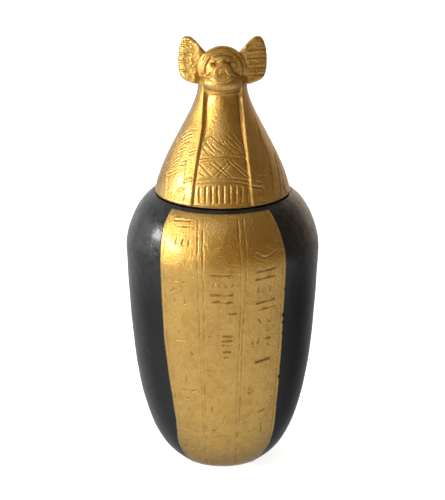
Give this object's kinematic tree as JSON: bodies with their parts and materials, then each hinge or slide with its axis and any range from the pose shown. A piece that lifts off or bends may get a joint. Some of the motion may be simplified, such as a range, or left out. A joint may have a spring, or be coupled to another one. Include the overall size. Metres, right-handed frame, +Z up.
{
  "type": "canopic jar",
  "caption": "Souvenir canopic jar: hollow rounded body with a raised incised front panel, and a lift-off lid formed as a baboon head in a striped wig.",
  "frame": {"origin": "centre of the flat underside that the jar stands on", "axes": "+Z up; -Y is the front, with the raised panel and the baboon's face; +X is to the right of someone facing the front"},
  "size_m": [0.0666, 0.067, 0.15],
  "materials": {
    "black_paint": "semi-gloss black paint on cast resin, scuffed on the shoulders, with a metallic gold painted front panel",
    "gold_paint": "metallic gold paint on cast resin, finely speckled, satin"
  },
  "bodies": {
    "root": {"jar": "black_paint", "lid": "gold_paint"}
  },
  "joints": []
}
